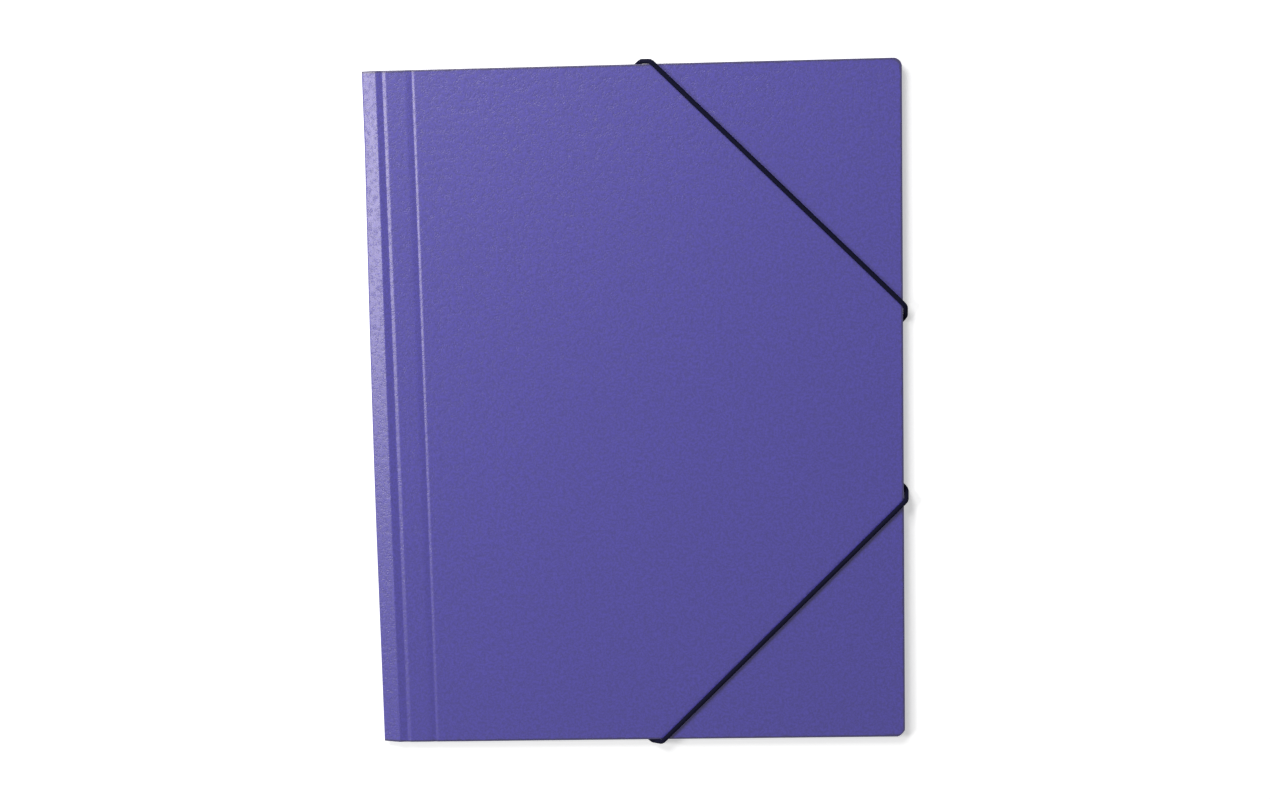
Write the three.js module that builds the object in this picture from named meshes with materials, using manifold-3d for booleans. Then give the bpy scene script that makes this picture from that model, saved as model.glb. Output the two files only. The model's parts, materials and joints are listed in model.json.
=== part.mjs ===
// Three-flap elastic folder for A4 papers, closed and lying on its back cover.
//
// One folded plastic sheet makes the back cover, the narrow spine band and the front cover.
// Three glued flaps fold in over the papers, and two elastic cords, one over each outer
// corner, hold the folder shut. Each cord starts in a hole of the back cover, rounds the
// edge, crosses the front cover at a slant, rounds the next edge and ends in a second hole.
//
// Millimetres. +Z is up, +X runs from the spine to the fore-edge, +Y to the top edge.
// The origin is the middle of the bottom of the box around the whole closed folder.

import * as THREE from 'three';
import { mergeVertices } from 'three/addons/utils/BufferGeometryUtils.js';
import Module from 'manifold-3d';

const wasm = await Module();
wasm.setup();

// Covers
const coverWidth = 251;
const coverHeight = 320;
const coverSheet = 0.5;
const cornerRadius = 4;

// Spine band and the pressed grooves of the front cover, measured across the spine
const bandWidth = 7.75;
const grooveDepth = 0.35;
const firstGrooveFall = 3.25;
const firstGrooveRise = 1.4;
const stripWidth = 9.7;
const secondGrooveFall = 2.7;
const secondGrooveRise = 1.3;
const hingeGap = 0.3;
const foldClearance = 0.2;

// Score line on the back cover, where its edge bends when the folder is full
const scoreWidth = 1.4;
const scoreDepth = 0.15;

// Flaps
const flapSheet = 0.4;
const flapInset = 1.5;
const tabWidth = 12;
const tabGap = 1;
const endFlapDepth = 95;
const sideFlapDepth = 92;
const endFlapSpineInset = 9;
const flapTaper = 12;
const flapCornerRadius = 14;
const flapCreaseStep = 5;
const flapCreaseDepth = 0.12;
const flapCreaseWidth = 1;
const pocketDepth = 1;
const layerGap = 0.1;

// Elastic cords
const cordDiameter = 2.4;
const cordClearance = 0.3;
const topCrossingX = 10;
const foreEdgeCrossingY = 47;
const holeInset = 18;
const cordSides = 10;
const bendSteps = 6;

// Metal bars that keep the cord ends from slipping back through the holes
const barbLength = 12;
const barbWidth = 5;
const barbThickness = 0.6;

// Heights of the layers, from the surface that the folder lies on
const cordRadius = cordDiameter / 2;
const backBottom = cordDiameter + cordClearance;
const backTop = backBottom + coverSheet;
const endFlapBottom = backTop + pocketDepth;
const endFlapTop = endFlapBottom + flapSheet;
const sideFlapBottom = endFlapTop + layerGap;
const sideFlapTop = sideFlapBottom + flapSheet;
const frontBottom = sideFlapTop + layerGap;
const frontTop = frontBottom + coverSheet;

// Plan of the closed folder
const foreEdgeX = coverWidth / 2;
const spineX = -coverWidth / 2;
const topEdgeY = coverHeight / 2;

// Fold line at the spine and the line where the band meets the front cover
const foldX = spineX + coverSheet / 2;
const foldZ = backBottom + coverSheet / 2;
const bandRise = frontBottom - backBottom;
const bandSlope = Math.atan2(bandRise, bandWidth);
const bandEndX = foldX + bandWidth;
const bandEndZ = foldZ + bandRise;

const holeRadius = cordRadius + cordClearance;
const bendRadius = cordRadius + cordClearance;

const coverMaterial = new THREE.MeshStandardMaterial({ color: 0x5b5299, roughness: 0.45, metalness: 0 });
const flapMaterial = new THREE.MeshStandardMaterial({ color: 0x564d92, roughness: 0.5, metalness: 0 });
const cordMaterial = new THREE.MeshStandardMaterial({ color: 0x121014, roughness: 0.9, metalness: 0 });
const metalMaterial = new THREE.MeshStandardMaterial({ color: 0xb9bbbd, roughness: 0.35, metalness: 1 });

// Solid for cutting and joining, from a closed three.js geometry
function toSolid(geometry) {
  const bare = geometry.clone();
  bare.deleteAttribute('normal');
  bare.deleteAttribute('uv');
  const merged = mergeVertices(bare, 1e-5);
  return new wasm.Manifold(new wasm.Mesh({
    numProp: 3,
    vertProperties: new Float32Array(merged.attributes.position.array),
    triVerts: new Uint32Array(merged.index.array),
  }));
}

function toGeometry(solid) {
  const { vertProperties, triVerts } = solid.getMesh();
  const geometry = new THREE.BufferGeometry();
  geometry.setAttribute('position', new THREE.BufferAttribute(new Float32Array(vertProperties), 3));
  geometry.setIndex(new THREE.BufferAttribute(new Uint32Array(triVerts), 1));
  geometry.computeVertexNormals();
  return geometry;
}

function namedMesh(name, solid, material) {
  const mesh = new THREE.Mesh(toGeometry(solid), material);
  mesh.name = name;
  return mesh;
}

function polygon(points) {
  return new THREE.Shape(points.map(([x, y]) => new THREE.Vector2(x, y)));
}

// Closed outline through corners [x, y, radius], with a true arc in each rounded corner
function roundedOutline(corners) {
  const shape = new THREE.Shape();
  corners.forEach(([x, y, radius], index) => {
    const corner = new THREE.Vector2(x, y);
    const [xBefore, yBefore] = corners.at(index - 1);
    const [xAfter, yAfter] = corners[(index + 1) % corners.length];
    const toBefore = new THREE.Vector2(xBefore, yBefore).sub(corner).normalize();
    const toAfter = new THREE.Vector2(xAfter, yAfter).sub(corner).normalize();
    const halfAngle = Math.acos(toBefore.dot(toAfter)) / 2;
    const reach = radius / Math.tan(halfAngle);
    const start = corner.clone().addScaledVector(toBefore, reach);
    const end = corner.clone().addScaledVector(toAfter, reach);
    const bisector = toBefore.clone().add(toAfter).normalize();
    const centre = corner.clone().addScaledVector(bisector, radius / Math.sin(halfAngle));
    const turnsRight = toBefore.cross(toAfter) > 0;
    if (index === 0) {
      shape.moveTo(start.x, start.y);
    } else {
      shape.lineTo(start.x, start.y);
    }
    if (radius > 0) {
      const startAngle = start.sub(centre).angle();
      const endAngle = end.sub(centre).angle();
      shape.absarc(centre.x, centre.y, radius, startAngle, endAngle, turnsRight);
    }
  });
  shape.closePath();
  return shape;
}

// Section in X and Z, drawn out along the whole height of the covers
function alongY(section) {
  const geometry = new THREE.ExtrudeGeometry(section, { depth: coverHeight, bevelEnabled: false });
  return toSolid(geometry.rotateX(Math.PI / 2).translate(0, topEdgeY, 0));
}

// Section in Y and Z, drawn out along the whole width of the covers
function alongX(section) {
  const geometry = new THREE.ExtrudeGeometry(section, { depth: coverWidth, bevelEnabled: false });
  const turn = new THREE.Matrix4().makeBasis(
    new THREE.Vector3(0, 1, 0),
    new THREE.Vector3(0, 0, 1),
    new THREE.Vector3(1, 0, 0),
  );
  return toSolid(geometry.applyMatrix4(turn).translate(spineX, 0, 0));
}

// Upright prism over a plan outline, taller than the whole folder
function uprightPrism(outline) {
  const reach = frontTop + coverSheet;
  const geometry = new THREE.ExtrudeGeometry(outline, { depth: reach, bevelEnabled: false, curveSegments: 8 });
  return toSolid(geometry);
}

// Plan of a cover: square at the spine, rounded at the two outer corners
function coverOutline() {
  return roundedOutline([
    [spineX, -topEdgeY, 0],
    [foreEdgeX, -topEdgeY, cornerRadius],
    [foreEdgeX, topEdgeY, cornerRadius],
    [spineX, topEdgeY, 0],
  ]);
}

// The front cover is a flat sheet with two grooves pressed into it beside the spine
function frontCover() {
  const start = bandEndX + hingeGap / 2;
  const firstBottom = start + firstGrooveFall;
  const firstEnd = firstBottom + firstGrooveRise;
  const secondStart = firstEnd + stripWidth;
  const secondBottom = secondStart + secondGrooveFall;
  const secondEnd = secondBottom + secondGrooveRise;
  const upperLine = [
    [start, frontTop],
    [firstBottom, frontTop - grooveDepth],
    [firstEnd, frontTop],
    [secondStart, frontTop],
    [secondBottom, frontTop - grooveDepth],
    [secondEnd, frontTop],
    [foreEdgeX, frontTop],
  ];
  const lowerLine = upperLine.map(([x, z]) => [x, z - coverSheet]).reverse();
  const pressedSheet = alongY(polygon([...upperLine, ...lowerLine]));
  return pressedSheet.intersect(uprightPrism(coverOutline()));
}

// The band turns about the fold line, so its lower edge is round about that line
function spineBand() {
  const across = new THREE.Vector2(Math.cos(bandSlope), Math.sin(bandSlope));
  const outward = new THREE.Vector2(-across.y, across.x);
  const half = coverSheet / 2;
  const fold = new THREE.Vector2(foldX, foldZ);
  const length = Math.hypot(bandWidth, bandRise) - hingeGap / 2;
  const outerEnd = fold.clone().addScaledVector(across, length).addScaledVector(outward, half);
  const innerEnd = fold.clone().addScaledVector(across, length).addScaledVector(outward, -half);
  const outerAngle = bandSlope + Math.PI / 2;
  const section = new THREE.Shape();
  section.moveTo(innerEnd.x, innerEnd.y);
  section.lineTo(outerEnd.x, outerEnd.y);
  section.absarc(foldX, foldZ, half, outerAngle, outerAngle + Math.PI, false);
  section.closePath();
  return alongY(section);
}

function holePlaces() {
  const shiftPerMillimetre = cordSlant();
  const wrap = edgeWrapLength();
  const backCrossingX = topCrossingX - wrap * shiftPerMillimetre;
  const backCrossingY = foreEdgeCrossingY - wrap / shiftPerMillimetre;
  return {
    backCrossingX,
    backCrossingY,
    endHole: new THREE.Vector2(backCrossingX - holeInset * shiftPerMillimetre, topEdgeY - holeInset),
    foreHole: new THREE.Vector2(foreEdgeX - holeInset, backCrossingY - holeInset / shiftPerMillimetre),
  };
}

// The back cover ends in a slanted cut under the band, and has a hole for each cord end
function backCover() {
  const half = coverSheet / 2;
  const across = new THREE.Vector2(Math.cos(bandSlope), Math.sin(bandSlope));
  const inward = new THREE.Vector2(across.y, -across.x);
  const offset = half + foldClearance;
  const cutAt = (z) => {
    const along = (z - foldZ - offset * inward.y) / across.y;
    return foldX + along * across.x + offset * inward.x;
  };
  const section = polygon([
    [cutAt(backBottom), backBottom],
    [bandEndX - scoreWidth / 2, backBottom],
    [bandEndX, backBottom + scoreDepth],
    [bandEndX + scoreWidth / 2, backBottom],
    [foreEdgeX, backBottom],
    [foreEdgeX, backTop],
    [cutAt(backTop), backTop],
  ]);
  let sheet = alongY(section).intersect(uprightPrism(coverOutline()));
  const { endHole, foreHole } = holePlaces();
  for (const side of [1, -1]) {
    for (const hole of [endHole, foreHole]) {
      sheet = sheet.subtract(uprightPrism(circle(hole.x, side * hole.y, holeRadius)));
    }
  }
  return sheet;
}

function circle(x, y, radius) {
  return new THREE.Shape().absarc(x, y, radius, 0, 2 * Math.PI, false);
}

// Section of a flap from its glued tab round the cover's edge to its free edge.
// The first value runs outward to that edge, and the second one upward.
function flapSection(edge, depth, bottom) {
  const outer = edge - flapInset;
  const inner = outer - flapSheet;
  const top = bottom + flapSheet;
  const crease = outer - flapCreaseStep;
  return [
    [outer - tabWidth, backTop],
    [outer, backTop],
    [outer, top],
    [crease + flapCreaseWidth / 2, top],
    [crease, top - flapCreaseDepth],
    [crease - flapCreaseWidth / 2, top],
    [outer - depth, top],
    [outer - depth, bottom],
    [inner, bottom],
    [inner, backTop + flapSheet],
    [outer - tabWidth, backTop + flapSheet],
  ];
}

// Flap at the top (side 1) or bottom (side -1) edge
function endFlap(side) {
  const section = flapSection(topEdgeY, endFlapDepth, endFlapBottom).map(([y, z]) => [side * y, z]);
  const outer = side * (topEdgeY - flapInset);
  const free = side * (topEdgeY - flapInset - endFlapDepth);
  const spineEnd = spineX + endFlapSpineInset;
  const foreEnd = foreEdgeX - flapInset - flapSheet - tabGap;
  const outline = roundedOutline([
    [spineEnd, outer, 0],
    [spineEnd + flapTaper, free, flapCornerRadius],
    [foreEnd - flapTaper, free, flapCornerRadius],
    [foreEnd, outer, 0],
  ]);
  return alongX(polygon(section)).intersect(uprightPrism(outline));
}

// Flap at the fore-edge, which folds in last and lies over the other two
function sideFlap() {
  const outer = foreEdgeX - flapInset;
  const free = outer - sideFlapDepth;
  const reach = topEdgeY - flapInset - tabWidth - tabGap;
  const outline = roundedOutline([
    [outer, -reach, 0],
    [outer, reach, 0],
    [free, reach - flapTaper, flapCornerRadius],
    [free, -reach + flapTaper, flapCornerRadius],
  ]);
  const section = polygon(flapSection(foreEdgeX, sideFlapDepth, sideFlapBottom));
  return alongY(section).intersect(uprightPrism(outline));
}

// Sideways shift of the cord, for each millimetre that it runs towards the top edge
function cordSlant() {
  return (foreEdgeX - topCrossingX) / (topEdgeY - foreEdgeCrossingY);
}

// Length of the cord's axis round an edge of the closed folder, measured across the edge
function edgeWrapLength() {
  return Math.PI * bendRadius + (frontTop - backBottom);
}

// Points of the cord's axis round the top edge, from the back to the front
function endEdgePoints() {
  const slant = cordSlant();
  const points = [];
  const quarter = bendRadius * Math.PI / 2;
  const { backCrossingX } = holePlaces();
  for (let step = 0; step <= bendSteps; step++) {
    const angle = (Math.PI / 2) * (step / bendSteps);
    points.push([
      backCrossingX + slant * bendRadius * angle,
      topEdgeY + bendRadius * Math.sin(angle),
      backBottom - bendRadius * Math.cos(angle),
    ]);
  }
  for (let step = 0; step <= bendSteps; step++) {
    const angle = (Math.PI / 2) * (step / bendSteps);
    points.push([
      topCrossingX - slant * (quarter - bendRadius * angle),
      topEdgeY + bendRadius * Math.cos(angle),
      frontTop + bendRadius * Math.sin(angle),
    ]);
  }
  return points;
}

// Points of the cord's axis round the fore-edge, from the front to the back
function foreEdgePoints() {
  const slant = cordSlant();
  const points = [];
  const quarter = bendRadius * Math.PI / 2;
  const { backCrossingY } = holePlaces();
  for (let step = 0; step <= bendSteps; step++) {
    const angle = (Math.PI / 2) * (step / bendSteps);
    points.push([
      foreEdgeX + bendRadius * Math.sin(angle),
      foreEdgeCrossingY - (bendRadius * angle) / slant,
      frontTop + bendRadius * Math.cos(angle),
    ]);
  }
  for (let step = 0; step <= bendSteps; step++) {
    const angle = (Math.PI / 2) * (step / bendSteps);
    points.push([
      foreEdgeX + bendRadius * Math.cos(angle),
      backCrossingY + (quarter - bendRadius * angle) / slant,
      backBottom - bendRadius * Math.sin(angle),
    ]);
  }
  return points;
}

// Points from a cord's end in its hole down to the run under the back cover
function holePoints(hole, towards) {
  const direction = towards.clone().sub(hole).normalize();
  const points = [[hole.x, hole.y, backTop + barbThickness]];
  for (let step = 0; step <= bendSteps; step++) {
    const angle = (Math.PI / 2) * (step / bendSteps);
    const out = bendRadius * (1 - Math.cos(angle));
    points.push([
      hole.x + direction.x * out,
      hole.y + direction.y * out,
      backBottom - bendRadius * Math.sin(angle),
    ]);
  }
  return points;
}

// Curve through given points, with one step of the tube for each of them
class CordAxis extends THREE.Curve {
  constructor(points) {
    super();
    this.points = points;
  }

  getPoint(t, target = new THREE.Vector3()) {
    const last = this.points.length - 1;
    const place = THREE.MathUtils.clamp(t, 0, 1) * last;
    const index = Math.min(Math.floor(place), last - 1);
    return target.lerpVectors(this.points[index], this.points[index + 1], place - index);
  }

  getUtoTmapping(u) {
    return u;
  }
}

// Cord over the upper (side 1) or lower (side -1) outer corner
function elasticCord(side) {
  const { backCrossingX, backCrossingY, endHole, foreHole } = holePlaces();
  const fromEndHole = holePoints(endHole, new THREE.Vector2(backCrossingX, topEdgeY));
  const toForeHole = holePoints(foreHole, new THREE.Vector2(foreEdgeX, backCrossingY)).reverse();
  const route = [...fromEndHole, ...endEdgePoints(), ...foreEdgePoints(), ...toForeHole];
  const axis = new CordAxis(route.map(([x, y, z]) => new THREE.Vector3(x, side * y, z)));
  const geometry = new THREE.ExtrudeGeometry(circle(0, 0, cordRadius), {
    steps: route.length - 1,
    extrudePath: axis,
    curveSegments: cordSides / 2,
  });
  return toSolid(geometry);
}

// Flat metal bar with the cord's end pinched in its eye, lying on the back cover
function barb(x, y, alongEdgeX) {
  const halfLength = barbLength / 2;
  const halfWidth = barbWidth / 2;
  const reachX = alongEdgeX ? halfLength : halfWidth;
  const reachY = alongEdgeX ? halfWidth : halfLength;
  const bar = roundedOutline([
    [x - reachX, y - reachY, halfWidth / 2],
    [x + reachX, y - reachY, halfWidth / 2],
    [x + reachX, y + reachY, halfWidth / 2],
    [x - reachX, y + reachY, halfWidth / 2],
  ]);
  bar.holes.push(circle(x, y, holeRadius));
  const geometry = new THREE.ExtrudeGeometry(bar, {
    depth: barbThickness,
    bevelEnabled: false,
    curveSegments: 6,
  });
  return toSolid(geometry.translate(0, 0, backTop));
}

const folder = new THREE.Group();
folder.add(namedMesh('back_cover', backCover(), coverMaterial));
folder.add(namedMesh('spine_band', spineBand(), coverMaterial));
folder.add(namedMesh('front_cover', frontCover(), coverMaterial));
folder.add(namedMesh('top_flap', endFlap(1), flapMaterial));
folder.add(namedMesh('bottom_flap', endFlap(-1), flapMaterial));
folder.add(namedMesh('side_flap', sideFlap(), flapMaterial));
for (const [name, side] of [['upper', 1], ['lower', -1]]) {
  const { endHole, foreHole } = holePlaces();
  folder.add(namedMesh(`${name}_elastic`, elasticCord(side), cordMaterial));
  folder.add(namedMesh(`${name}_barb_end`, barb(endHole.x, side * endHole.y, true), metalMaterial));
  folder.add(namedMesh(`${name}_barb_fore`, barb(foreHole.x, side * foreHole.y, false), metalMaterial));
}

const extent = new THREE.Box3().setFromObject(folder);
const middle = extent.getCenter(new THREE.Vector3());
folder.position.set(-middle.x, -middle.y, -extent.min.z);
folder.updateMatrixWorld(true);

export default folder;
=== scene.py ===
import json
import math

import bmesh
import bpy
import numpy as np
from mathutils import Matrix, Vector


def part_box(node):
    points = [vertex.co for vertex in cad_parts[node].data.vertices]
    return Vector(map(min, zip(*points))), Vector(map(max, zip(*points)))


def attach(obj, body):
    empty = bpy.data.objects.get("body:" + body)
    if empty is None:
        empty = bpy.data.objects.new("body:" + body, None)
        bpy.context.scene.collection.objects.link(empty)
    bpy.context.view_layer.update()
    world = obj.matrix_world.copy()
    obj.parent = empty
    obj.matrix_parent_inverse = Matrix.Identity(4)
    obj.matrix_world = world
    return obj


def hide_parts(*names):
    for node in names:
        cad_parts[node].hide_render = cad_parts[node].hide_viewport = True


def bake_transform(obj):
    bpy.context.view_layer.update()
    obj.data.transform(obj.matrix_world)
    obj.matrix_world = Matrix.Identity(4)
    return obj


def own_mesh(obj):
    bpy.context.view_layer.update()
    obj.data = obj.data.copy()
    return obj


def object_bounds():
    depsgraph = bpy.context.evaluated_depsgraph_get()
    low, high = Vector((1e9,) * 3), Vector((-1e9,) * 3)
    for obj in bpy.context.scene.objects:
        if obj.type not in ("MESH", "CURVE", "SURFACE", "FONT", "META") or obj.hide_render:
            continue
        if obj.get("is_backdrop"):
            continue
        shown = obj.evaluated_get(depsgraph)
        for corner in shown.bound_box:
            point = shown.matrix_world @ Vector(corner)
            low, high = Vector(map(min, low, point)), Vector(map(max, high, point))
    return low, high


bl_info = {
    "name": "Elastic Folder",
    "version": (1, 0, 0),
    "blender": (4, 5, 0),
    "location": "View3D > Sidebar > Elastic Folder",
    "description": "Builds an A4 three-flap folder with grained plastic covers and two elastic cords",
    "category": "Object",
}

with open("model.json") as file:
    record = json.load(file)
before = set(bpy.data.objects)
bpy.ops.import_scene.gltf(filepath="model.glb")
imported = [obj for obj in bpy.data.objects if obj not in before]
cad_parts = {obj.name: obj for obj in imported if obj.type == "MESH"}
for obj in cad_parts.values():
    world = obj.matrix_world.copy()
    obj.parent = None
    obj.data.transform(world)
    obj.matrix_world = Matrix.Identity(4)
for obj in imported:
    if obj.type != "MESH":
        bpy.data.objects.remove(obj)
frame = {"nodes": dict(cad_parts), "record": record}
cad_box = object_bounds()

MM = 0.001
WHITE = (1.0, 1.0, 1.0, 1.0)

# Places that the frame gives, in metres
joint_place = {joint["name"]: joint["pos_m"] for joint in frame["record"]["behaviour"]["joints"]}
fold_x, _, fold_z = joint_place["spine_fold"]
band_end_x, _, band_end_z = joint_place["cover_fold"]
back_low, back_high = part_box("back_cover")
front_low, front_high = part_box("front_cover")
fore_edge_x = front_high.x
top_edge_y = front_high.y
sheet_thickness = back_high.z - back_low.z
lowest_x = cad_box[0][0]


# Settings


class CoverSettings(bpy.types.PropertyGroup):
    """Sizes and colour of the folded plastic sheet"""

    colour: bpy.props.FloatVectorProperty(
        name="Colour", description="Colour of the plastic", subtype="COLOR", size=3,
        default=(0.051, 0.041, 0.297))
    roughness: bpy.props.FloatProperty(
        name="Roughness", description="Roughness of the satin surface", default=0.38,
        subtype="FACTOR")
    grain_depth: bpy.props.FloatProperty(
        name="Grain Depth", description="Depth of the embossed grain", default=0.05 * MM,
        unit="LENGTH", precision=6)
    first_groove_depth: bpy.props.FloatProperty(
        name="First Groove Depth", description="Depth of the groove next to the spine band",
        default=0.5 * MM, unit="LENGTH", precision=5)
    second_groove_depth: bpy.props.FloatProperty(
        name="Second Groove Depth", description="Depth of the outer groove", default=0.38 * MM,
        unit="LENGTH", precision=5)
    fold_radius: bpy.props.FloatProperty(
        name="Fold Radius", description="Radius of the sheet's middle at the spine fold",
        default=0.15 * MM, unit="LENGTH", precision=5)
    crease_thickness: bpy.props.FloatProperty(
        name="Crease Thickness", description="Thickness of the pressed crease at the spine fold",
        default=0.28 * MM, unit="LENGTH", precision=5)
    rim_radius: bpy.props.FloatProperty(
        name="Rim Radius", description="Rounding of the cut edges", default=0.12 * MM, unit="LENGTH",
        precision=5)
    upper_corner: bpy.props.FloatProperty(
        name="Upper Corner", description="Size of the upper outer corner's rounding", default=4 * MM,
        unit="LENGTH")
    lower_corner: bpy.props.FloatProperty(
        name="Lower Corner", description="Size of the lower outer corner's blunt cut",
        default=3.4 * MM, unit="LENGTH")
    fold_lean: bpy.props.FloatProperty(
        name="Fold Lean", description="How far the fold leans inward at the top edge",
        default=1.9 * MM, unit="LENGTH")
    wave: bpy.props.FloatProperty(
        name="Wave", description="Height of the slight waves in the covers", default=0.1 * MM,
        unit="LENGTH", precision=5)


class FlapSettings(bpy.types.PropertyGroup):
    """Sizes and colour of the three inner flaps"""

    colour: bpy.props.FloatVectorProperty(
        name="Colour", description="Colour of the flaps", subtype="COLOR", size=3,
        default=(0.052, 0.042, 0.275))
    roughness: bpy.props.FloatProperty(
        name="Roughness", description="Roughness of the flaps", default=0.5, subtype="FACTOR")
    thickness: bpy.props.FloatProperty(
        name="Thickness", description="Thickness of the flap sheet", default=0.4 * MM, unit="LENGTH",
        precision=5)
    tab: bpy.props.FloatProperty(
        name="Tab", description="Depth of the glued tab", default=12 * MM, unit="LENGTH")
    taper: bpy.props.FloatProperty(
        name="Taper", description="How far each end of a flap slants in", default=12 * MM,
        unit="LENGTH")
    corner: bpy.props.FloatProperty(
        name="Corner", description="Radius of the free corners", default=14 * MM, unit="LENGTH")
    crease_step: bpy.props.FloatProperty(
        name="Crease Step", description="Distance of the second crease from the fold",
        default=5 * MM, unit="LENGTH")
    crease_depth: bpy.props.FloatProperty(
        name="Crease Depth", description="Depth of the second crease", default=0.12 * MM,
        unit="LENGTH", precision=5)
    sag: bpy.props.FloatProperty(
        name="Sag", description="How far the free edge of an end flap hangs down", default=0.35 * MM,
        unit="LENGTH", precision=5)


class ElasticSettings(bpy.types.PropertyGroup):
    """Sizes and colour of the two elastic cords"""

    colour: bpy.props.FloatVectorProperty(
        name="Colour", description="Colour of the cord's textile cover", subtype="COLOR", size=3,
        default=(0.0030, 0.0030, 0.012))
    radius: bpy.props.FloatProperty(
        name="Radius", description="Radius over the braided strands", default=1.15 * MM,
        unit="LENGTH", precision=5)
    braid_depth: bpy.props.FloatProperty(
        name="Braid Depth", description="Height of the braided strands", default=0.09 * MM,
        unit="LENGTH", precision=6)
    braid_lay: bpy.props.FloatProperty(
        name="Braid Lay", description="Length of one crossing along the cord", default=1.5 * MM,
        unit="LENGTH", precision=5)
    strands: bpy.props.IntProperty(
        name="Strands", description="Strands round the cord in each direction", default=6, min=3)
    step: bpy.props.FloatProperty(
        name="Step", description="Length of one step of the cord's mesh", default=0.25 * MM,
        unit="LENGTH", precision=5)


class StageSettings(bpy.types.PropertyGroup):
    """Floor, lights and camera"""

    floor_width: bpy.props.FloatProperty(
        name="Floor Width", description="Width of the square floor", default=12.0, unit="LENGTH")
    floor_glow: bpy.props.FloatProperty(
        name="Floor Glow",
        description="Light that the camera sees on the floor beside the lamps' light", default=0.46)
    key_power: bpy.props.FloatProperty(
        name="Key Power", description="Power of the lamp at the left", default=14.5, unit="POWER")
    key_place: bpy.props.FloatVectorProperty(
        name="Key Place", description="Place of the lamp at the left", subtype="XYZ", size=3,
        unit="LENGTH", default=(-1.255, 0.17, 1.165))
    key_width: bpy.props.FloatProperty(
        name="Key Width", description="Width of the square lamp at the left", default=0.45,
        unit="LENGTH")
    top_power: bpy.props.FloatProperty(
        name="Top Power", description="Power of the lamp at the upper left", default=10.6,
        unit="POWER")
    top_place: bpy.props.FloatVectorProperty(
        name="Top Place", description="Place of the lamp at the upper left", subtype="XYZ", size=3,
        unit="LENGTH", default=(-0.40, 0.76, 0.85))
    top_width: bpy.props.FloatProperty(
        name="Top Width", description="Width of the square lamp at the upper left", default=0.5,
        unit="LENGTH")
    room_light: bpy.props.FloatProperty(
        name="Room Light", description="Strength of the even light all round", default=0.15)


# Shapes

# Section of the folded sheet
BOX_GAP = 0.01 * MM
ARC_POINTS = 25
LINE_STEP = 0.02 * MM
LINE_REACH = 30 * MM
FIRST_FALL = 3.5 * MM
FIRST_RISE = 1.8 * MM
GROOVE_GAP = 8.8 * MM
SECOND_FALL = 3.2 * MM
SECOND_RISE = 1.3 * MM
SECOND_CURVE = 1.5
SMOOTH_STEPS = 35
SMOOTH_MARGIN = 1 * MM
CREASE_TAPER = 0.16
SPLIT_LENGTH = 4 * MM

# Waves of the covers and lean of the fold
WAVE_START = 30 * MM
WAVE_FULL = 80 * MM
WAVE_LENGTHS = (0.041, 0.056, 0.027)
LEAN_START = -70 * MM
LEAN_SPAN = 195 * MM
LEAN_CURVE = 1.6
LEAN_REACH = 12.5 * MM

# Meshes of the sheets
COVER_ROWS = 67
FLAP_ROWS = 43
RIM_ROW = 0.996
CORNER_PULL = 6
CORNER_STEPS = 12
ROUND_CORNER = 2.0
BLUNT_CORNER = 1.35
LONG_STEP = 4 * MM
FINE_STEP = 0.2 * MM
SHARP_ANGLE = math.radians(40)
HOLE_RADIUS = 1.5 * MM
HOLE_SIDES = 32


def smooth_step(value, start, end):
    share = ramp(value, start, end)
    return share * share * (3 - 2 * share)


def ramp(value, start, end):
    return np.clip((value - start) / (end - start), 0, 1)


def cover_line(settings):
    """Middle line of the folded sheet, seen along the spine: unrolled length from the fold, x and z."""
    radius = settings.fold_radius
    middle_x = lowest_x + BOX_GAP + settings.crease_thickness / 2 + radius
    middle_z = fold_z + radius
    reach = math.hypot(band_end_x - middle_x, band_end_z - middle_z)
    slope = math.atan2(band_end_z - middle_z, band_end_x - middle_x) - math.asin(radius / reach)
    turn = math.pi - slope
    arc_heading = np.linspace(math.pi, slope, ARC_POINTS)
    arc_x = middle_x - radius * np.sin(arc_heading)
    arc_z = middle_z + radius * np.cos(arc_heading)
    arc_u = np.linspace(-turn * radius / 2, turn * radius / 2, ARC_POINTS)

    x = np.arange(arc_x[-1] + LINE_STEP, band_end_x + LINE_REACH, LINE_STEP)
    first_start = front_low.x
    first_bottom = first_start + FIRST_FALL
    first_end = first_bottom + FIRST_RISE
    second_start = first_end + GROOVE_GAP
    second_bottom = second_start + SECOND_FALL
    second_end = second_bottom + SECOND_RISE
    first = ramp(x, first_start, first_bottom) - ramp(x, first_bottom, first_end)
    second = ramp(x, second_start, second_bottom) ** SECOND_CURVE - ramp(x, second_bottom, second_end)
    groove = settings.first_groove_depth * first + settings.second_groove_depth * second
    band_z = arc_z[-1] + (x - arc_x[-1]) * math.tan(slope)
    z = np.where(x < band_end_x, band_z, band_end_z - groove)
    smoothed = np.convolve(z, np.ones(SMOOTH_STEPS) / SMOOTH_STEPS, mode="same")
    inner = (x > arc_x[-1] + SMOOTH_MARGIN) & (x < x[-1] - SMOOTH_MARGIN)
    z = np.where(inner, smoothed, z)
    lengths = np.hypot(np.diff(x, prepend=arc_x[-1]), np.diff(z, prepend=arc_z[-1]))
    u = arc_u[-1] + np.cumsum(lengths)

    back_u = arc_u[0] - (fore_edge_x - middle_x)
    front_u = u[-1] + (fore_edge_x - x[-1])
    line_u = np.concatenate([[back_u], arc_u, u, [front_u]])
    line_x = np.concatenate([[fore_edge_x], arc_x, x, [fore_edge_x]])
    line_z = np.concatenate([[fold_z], arc_z, z, [band_end_z]])
    return line_u, line_x, line_z


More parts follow.
